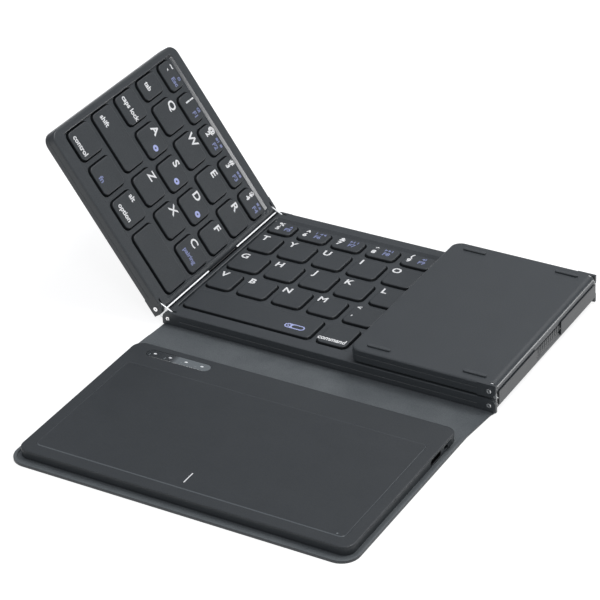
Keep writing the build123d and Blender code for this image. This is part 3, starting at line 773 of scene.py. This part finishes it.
# ==== Leather ====
# One sheet of coated leather 0.8 mm thick, glued under the middle panel. It bends at two creases, and
# its turned edge stands up round the pad. It is drawn as two pieces that meet in the spine.
def hide(name, dark, light, roughness, pore, depth):
    """Coated leather: smooth shine with shallow pores and creases between cells of the grain."""
    material = bpy.data.materials.new(name)
    material.use_nodes = True
    tree = material.node_tree
    tree.nodes.clear()
    place = add(tree, "TexCoord").outputs["Object"]
    warp = add(tree, "TexNoise", {"Vector": place, "Scale": 600.0, "Detail": 2.0})
    bent = add(tree, "MixRGB", {0: 0.0012, 1: place, 2: warp.outputs[1]}, blend_type="ADD")
    cells = add(tree, "TexVoronoi", {"Vector": bent.outputs[0], "Scale": 1 / (pore * MM)}, feature="DISTANCE_TO_EDGE")
    grain = add(tree, "MapRange", {"Value": cells.outputs[0], "From Max": 0.22})
    cloud = add(tree, "TexNoise", {"Vector": place, "Scale": 60.0, "Detail": 5.0, "Roughness": 0.6})
    tone = add(tree, "Math", {0: cloud.outputs[0], 1: add(tree, "Math", {0: grain.outputs[0], 1: 0.35}, operation="MULTIPLY").outputs[0]}, operation="ADD")
    colour = add(tree, "Mix", {0: add(tree, "MapRange", {"Value": tone.outputs[0], "From Min": 0.45, "From Max": 1.15}).outputs[0],
                               6: linear(dark), 7: linear(light)}, data_type="RGBA")
    gloss = add(tree, "MapRange", {"Value": cloud.outputs[0], "From Min": 0.3, "From Max": 0.7,
                                   "To Min": roughness - 0.05, "To Max": roughness + 0.05})
    bump = add(tree, "Bump", {"Height": grain.outputs[0], "Distance": depth * MM, "Strength": 0.8})
    shader = add(tree, "BsdfPrincipled", {"Base Color": colour.outputs[2], "Roughness": gloss.outputs[0],
                                          "Normal": bump.outputs[0], "IOR": 1.5, "Sheen Weight": 0.05})
    add(tree, "OutputMaterial", {"Surface": shader.outputs[0]})
    return material


# The pores of the real grain are about 0.4 mm apart, and are drawn at 0.9 mm to show in the render.
coated_leather = hide("coated_leather", "54595c", "686d6f", 0.48, 0.9, 0.02)
# The cut edges are painted, a little darker and smoother than the face; the darker tone is also painted shade on the
# outer wall of the turned edge.
edge_coat_and_shade = mottled("edge_coat_and_shade", "34383b", "43474a", 0.42, 0.6, 0.01)
SEAM_Y = -61.05


def leather(name, stations, front, rings, back, seam_first):
    """A sheet between left and right edges given per station, from the back to the front."""
    bm = bmesh.new()
    outline = [(a, y) for y, a, b in stations] + front + [(b, y) for y, a, b in reversed(stations)]
    count = len(stations)
    amounts = [1.0] * (len(outline) - 1) + [back]
    if not front and not seam_first:
        amounts[count - 1] = 0.0
    loops = []
    for amount, height in rings:
        edge = inset(outline, [amount * k for k in amounts])
        loops.append([bm.verts.new((x, y, height(y))) for x, y in edge])
    for low, high in zip(loops, loops[1:]):
        band(bm, low, high)
        # The lowest bands, the outer wall of the edge, take the edge paint with its painted shade.
        if high in loops[:4]:
            bm.faces.ensure_lookup_table()
            for face in bm.faces[-len(low):]:
                face.material_index = 1
    last = len(outline) - 1
    for ring_ in (loops[0], loops[-1]):
        for i in range(count - 1):
            bm.faces.new((ring_[i], ring_[i + 1], ring_[last - i - 1], ring_[last - i]))
        if front:
            bm.faces.new(ring_[count - 1:last - count + 2])
    return piece(name, bm, None, [coated_leather, edge_coat_and_shade])


def spread(y):
    """The left and right edges of the spine, which narrows towards the back."""
    t = max(0.0, (y + 70.25) / 18.4)
    return -81.8 + 1.3 * t, 77.8 + 1.6 * t


def level_at(z):
    return lambda y: z


EDGE = [(0.14, level_at(0.0)), (0.0, level_at(0.14)), (0.0, level_at(0.66)), (0.14, level_at(0.8))]
stations = [(y, -77.4, 77.4) for y in (48.5, 30, 10, -10, -30, -44, -48)]
stations += [(-48.4, -80.5, 80.4), (-49.5, -80.5, 80.1), (-50.3, -80.5, 79.9), (-51.0, -80.5, 79.6)]
stations += [(y, *spread(y)) for y in (-51.85, -52.5, -53.2, -54, -56, SEAM_Y)]
base = leather("base_leather", stations, [], EDGE, 1.0, False)
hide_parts("leather_base", "leather_spine")


def standing(z):
    """Heights of the turned edge, which fades out towards the crease."""
    def height(y):
        t = min(1.0, max(0.0, (-72.5 - y) / 6.0))
        return z if z <= 0.8 else 0.8 + (z - 0.8) * t * t * (3 - 2 * t)
    return height


TURNED_EDGE = [(0.12, 0.0), (0.0, 0.12), (0.0, 1.1), (0.1, 1.3), (0.35, 1.4), (1.2, 1.4), (1.42, 1.3), (1.55, 1.05), (1.75, 0.8)]
stations = [(y, *spread(y)) for y in (SEAM_Y, -64, -67, -68.6, -69.4, -70.0, -70.35, -70.7, -71.05, -71.4, -72, -72.8, -74, -76, -79, -90)]
stations += [(y, -81.8, 77.8) for y in (-120, -160.3)]
corners = rounded(-81.8, 77.8, -168.3, 0, 8.0, 8)
front = [p for p in corners[27:]][1:] + corners[:9][:-1]
flap = leather("flap_leather", stations, front, [(d, standing(z)) for d, z in TURNED_EDGE], 0.0, True)
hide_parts("leather_flap")
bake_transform(base)
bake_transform(flap)


# ==== Pad: tray and cover ====
# A flat ABS box glued to the flap. The cover has a rounded rim and flush openings for the touch
# surface and the indicator window. A charging port and a slide switch are in its right side.
PAD = (-79.2, 75.2, -164.0, -72.3)
PAD_TOP = 5.0
LID_Z = 4.4
pad_plastic = mottled("pad_abs", "2c3033", "3b3f42", 0.42, 0.5, 0.01)


def lined(bm, outer, holes, x):
    """A flat face that stands at right angles to X, with holes."""
    edges = []
    for ring_ in [outer] + holes:
        for i, v in enumerate(ring_):
            pair = (v, ring_[(i + 1) % len(ring_)])
            edges.append(bm.edges.get(pair) or bm.edges.new(pair))
    bmesh.ops.triangle_fill(bm, edges=edges, use_beauty=True, normal=(1, 0, 0))


x0, x1, y0, y1 = PAD
bm = bmesh.new()
corner = rounded(x0, x1, y0, y1, 5.0, 8)
profile = [(0.5, 0.8), (0.15, 0.95), (0.0, 1.3), (0.0, LID_Z - 0.1), (0.1, LID_Z)]
rings = [loop(bm, inset(corner, [d] * len(corner)), z) for d, z in profile]
side_edge = 8      # the straight right side runs from the end of the first corner to the second
for low, high in zip(rings, rings[1:]):
    band(bm, low, high, skip=(side_edge,) if low is rings[2] else ())
bm.faces.new(rings[0])
bm.faces.new(rings[-1])
PORT_Z = 2.9
socket_y = y1 - 20.0
switch_mid = y1 - 9.5
mouth = [(y, z) for y, z in rounded(socket_y - 4.55, socket_y + 4.55, PORT_Z - 1.35, PORT_Z + 1.35, 1.34, 6)]
gate = rounded(switch_mid - 3.1, switch_mid + 3.1, PORT_Z - 0.9, PORT_Z + 0.9, 0.4, 3)
tunnels = []
for outline in (mouth, gate):
    tunnel = [[bm.verts.new((x, y, z)) for y, z in inset(outline, [d] * len(outline))]
              for d, x in ((-0.12, x1), (0.0, x1 - 0.12), (0.0, x1 - 1.8))]
    band(bm, tunnel[0], tunnel[1])
    band(bm, tunnel[1], tunnel[2])
    tunnels.append(tunnel[0])
low, high = rings[2], rings[3]
lined(bm, [low[side_edge], low[side_edge + 1], high[side_edge + 1], high[side_edge]], tunnels, x1)
piece("pad_tray", bm, "flap", [pad_plastic], replaces=["pad_case"])

TOUCH = (x0 + 5.6, x1 - 5.6, y0 + 5.6, y1 - 16.1)
WINDOW = (x0 + 8.6, x0 + 40.2, y1 - 8.8, y1 - 3.4)
bm = bmesh.new()
profile = [(0.12, LID_Z + 0.02), (0.0, LID_Z + 0.12), (0.0, 4.55), (0.06, 4.72), (0.2, 4.87), (0.42, 4.97), (0.7, PAD_TOP)]
rings = [loop(bm, inset(corner, [d] * len(corner)), z) for d, z in profile]
for low, high in zip(rings, rings[1:]):
    band(bm, low, high)
bm.faces.new(rings[0])
seats = []
for (a, b, c, d), r in ((TOUCH, 2.1), (WINDOW, 2.69)):
    walls = [loop(bm, rounded(a - g, b + g, c - g, d + g, r + g, 8), z)
             for g, z in ((0.05, PAD_TOP), (0.02, PAD_TOP - 0.04), (0.02, PAD_TOP - 0.3))]
    for high, low in zip(walls, walls[1:]):
        band(bm, low, high)
    bm.faces.new(walls[-1])
    seats.append(walls[0])
fill(bm, rings[-1], *seats)
piece("pad_cover", bm, "flap", [pad_plastic], replaces=["pad_lid"])


# ==== Touch surface ====
# A satin polyester film on a thin plate, flush with the cover. Printed on it are the line between its
# two buttons and a small dot.
satin_film = mottled("satin_polyester_film", "292d30", "383c3f", 0.33, 0.35, 0.004, ior=1.55)
# Painted highlight: the bevelled edge of the film is drawn lighter and glossier than its face, for the light line
# along its front.
film_edge_highlight = mottled("polyester_edge_painted_highlight", "54595c", "64696c", 0.2, 0.35, 0.003, ior=1.6)
a, b, c, d = TOUCH
bm = bmesh.new()
# The front edge is bevelled wider, so that a fingertip finds it.
profile = [(0.05, 0.05, 4.7), (0.05, 0.05, PAD_TOP - 0.1), (0.12, 0.34, PAD_TOP + 0.08), (0.25, 0.5, PAD_TOP + 0.1)]
rings = [loop(bm, rounded(a + g, b - g, c + front_g, d - g, 2.1 - g, 8), z) for g, front_g, z in profile]
for low, high in zip(rings, rings[1:]):
    band(bm, low, high)
# The bevelled edge takes the painted highlight.
bm.faces.ensure_lookup_table()
for face in bm.faces[len(rings[0]):]:
    face.material_index = 1
bm.faces.new(rings[0])
bm.faces.new(rings[-1])
piece("touch_film", bm, "flap", [satin_film, film_edge_highlight], replaces=["touch_surface"])
bm = bmesh.new()
slab(bm, rounded(-5.25, -4.75, -154.4, -147.3, 0.2, 3), PAD_TOP + 0.1)
piece("touch_print", bm, "flap", [white_ink])
# Ink thinned on purpose, so that it is only just seen.
faint_ink = mottled("thin_grey_ink", "6d7376", "868c8f", 0.5, 0.4, 0.002)
bm = bmesh.new()
slab(bm, rounded(65.6, 66.4, -157.3, -156.5, 0.38, 4), PAD_TOP + 0.1)
piece("touch_dot", bm, "flap", [faint_ink])


# ==== Indicator window ====
# A pill of tinted acrylic over the lights, clearer to the right, with four small light guides.
def tinted(name, dark, light, x_start, x_end):
    """Tinted acrylic that lets more of the white plate under it through towards one end."""
    material = bpy.data.materials.new(name)
    material.use_nodes = True
    tree = material.node_tree
    tree.nodes.clear()
    place = add(tree, "SeparateXYZ", {0: add(tree, "TexCoord").outputs["Object"]})
    cloud = add(tree, "TexNoise", {"Scale": 300.0, "Detail": 3.0})
    ramp = add(tree, "MapRange", {"Value": place.outputs[0], "From Min": x_start * MM, "From Max": x_end * MM}, interpolation_type="SMOOTHSTEP")
    tone = add(tree, "Math", {0: ramp.outputs[0], 1: add(tree, "Math", {0: cloud.outputs[0], 1: 0.8}, operation="ADD").outputs[0]}, operation="MULTIPLY", use_clamp=True)
    colour = add(tree, "Mix", {0: tone.outputs[0], 6: linear(dark), 7: linear(light)}, data_type="RGBA")
    gloss = add(tree, "MapRange", {"Value": cloud.outputs[0], "To Min": 0.1, "To Max": 0.22})
    shader = add(tree, "BsdfPrincipled", {"Base Color": colour.outputs[2], "Roughness": gloss.outputs[0],
                                          "IOR": 1.49, "Coat Weight": 0.3, "Coat Roughness": 0.08})
    add(tree, "OutputMaterial", {"Surface": shader.outputs[0]})
    return material


tinted_acrylic = tinted("tinted_acrylic", "303437", "6c7275", -58.5, -53.5)
a, b, c, d = WINDOW
bm = bmesh.new()
profile = [(0.1, 4.72), (0.1, PAD_TOP - 0.1), (0.18, PAD_TOP - 0.02), (0.34, PAD_TOP)]
rings = [loop(bm, rounded(a + g, b - g, c + g, d - g, 2.69 - g, 8), z) for g, z in profile]
for low, high in zip(rings, rings[1:]):
    band(bm, low, high)
bm.faces.new(rings[0])
bm.faces.new(rings[-1])
piece("indicator_window", bm, "flap", [tinted_acrylic], replaces=["status_window"])

# Light guides of white acrylic, faintly frosted.
light_guide = mottled("frosted_acrylic", "e6e9ea", "fbfcfc", 0.35, 0.3, 0.002, ior=1.49)
bm = bmesh.new()
marks = bmesh.new()
for i, x in enumerate((-66.5, -58.9, -51.0, -43.1)):
    slab(bm, rounded(x - 0.75, x + 0.75, -78.75, -77.85, 0.44, 4), PAD_TOP, 0.03)
    if i < 3:
        lettering(marks, str(i + 1), x - 2.0, -79.6, 1.3, z=PAD_TOP + 0.01)
    else:
        sign(marks, "s|", x - 2.2, -79.6, 1.0, z=PAD_TOP + 0.01)
piece("light_guides", bm, "flap", [light_guide])
piece("indicator_print", marks, "flap", [faint_ink])


# ==== Port and switch ====
# A folded steel shell with a contact tongue, and a moulded slider with three grips for a fingertip.
bm = bmesh.new()
profile = [(0.3, x1 - 6.9), (0.3, x1 - 0.05), (0.2, x1), (0.08, x1), (0.0, x1 - 0.08), (0.0, x1 - 7.3)]
pill = rounded(socket_y - 4.45, socket_y + 4.45, PORT_Z - 1.25, PORT_Z + 1.25, 1.24, 6)
rings = []
for d, x in profile:
    rings.append([bm.verts.new((x, y, z)) for y, z in inset(pill, [d] * len(pill))])
for low, high in zip(rings, rings[1:]):
    band(bm, low, high)
bm.faces.new(rings[0])
bm.faces.new(rings[-1])
# Blackened steel, so that the port stays a dark slot in the dark side.
black_steel = brushed("blackened_steel", "2a2c2e", "3a3c3e", 0.4, 0.25, 1)
piece("port_shell", bm, "flap", [black_steel], replaces=["charge_socket"])
bm = bmesh.new()
bar(bm, x1 - 6.9, x1 - 1.0, socket_y - 3.2, socket_y + 3.2, PORT_Z - 0.35, PORT_Z + 0.35, 0.3, 0.12)
piece("port_tongue", bm, "flap", [nylon])

bm = bmesh.new()
knob_y = switch_mid + 2.8
grip = [(knob_y, x1 - 1.2), (knob_y, x1 + 0.5), (knob_y - 0.1, x1 + 0.6)]
for i in (1, 2, 3):
    y = knob_y - i * 0.9
    grip += [(y + 0.25, x1 + 0.6), (y + 0.15, x1 + 0.35), (y - 0.15, x1 + 0.35), (y - 0.25, x1 + 0.6)]
grip += [(knob_y - 3.5, x1 + 0.6), (knob_y - 3.6, x1 + 0.5), (knob_y - 3.6, x1 - 1.2)]
low = [bm.verts.new((x, y, PORT_Z - 0.7)) for y, x in grip]
high = [bm.verts.new((x, y, PORT_Z + 0.7)) for y, x in grip]
band(bm, low, high)
bm.faces.new(low)
bm.faces.new(high)
piece("switch_knob", bm, "switch", [nylon], replaces=["power_switch"])


# ==== Inside the panels and the pad ====
# Stamped plates, printed contact film and rubber spring sheets under the keys; board, pouch cell and
# magnets in the pad. They keep the shape of the model and get their own finishes.
sheet_aluminium = brushed("stamped_aluminium", "a9abad", "c4c6c8", 0.38, 0.3, 0)
printed_film = mottled("printed_polyester", "b9b39a", "cfcab4", 0.3, 1.2, 0.002, ior=1.6)
silicone = mottled("silicone_sheet", "232628", "33373a", 0.7, 0.8, 0.01, ior=1.42)
solder_mask = mottled("solder_mask", "0d3f22", "14573a", 0.3, 0.9, 0.006, ior=1.55)
pouch = mottled("foil_laminate", "a9acae", "c6c9cb", 0.4, 1.5, 0.01, metallic=0.6)
cable_film = mottled("black_coverlay_film", "17181a", "232528", 0.35, 0.7, 0.002, ior=1.6)
FINISH = {
    "_plate": sheet_aluminium, "_membrane": printed_film, "_domes": silicone, "_board": solder_mask,
    "_battery": pouch, "_magnets": nickel, "_flat_cable": cable_film,
}
for node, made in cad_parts.items():
    for ending, material in FINISH.items():
        if node.endswith(ending):
            for held in made.material_slots:
                held.material = material


low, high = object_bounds()
{"cad": [list(cad_box[0]), list(cad_box[1])], "scene": [list(low), list(high)]}
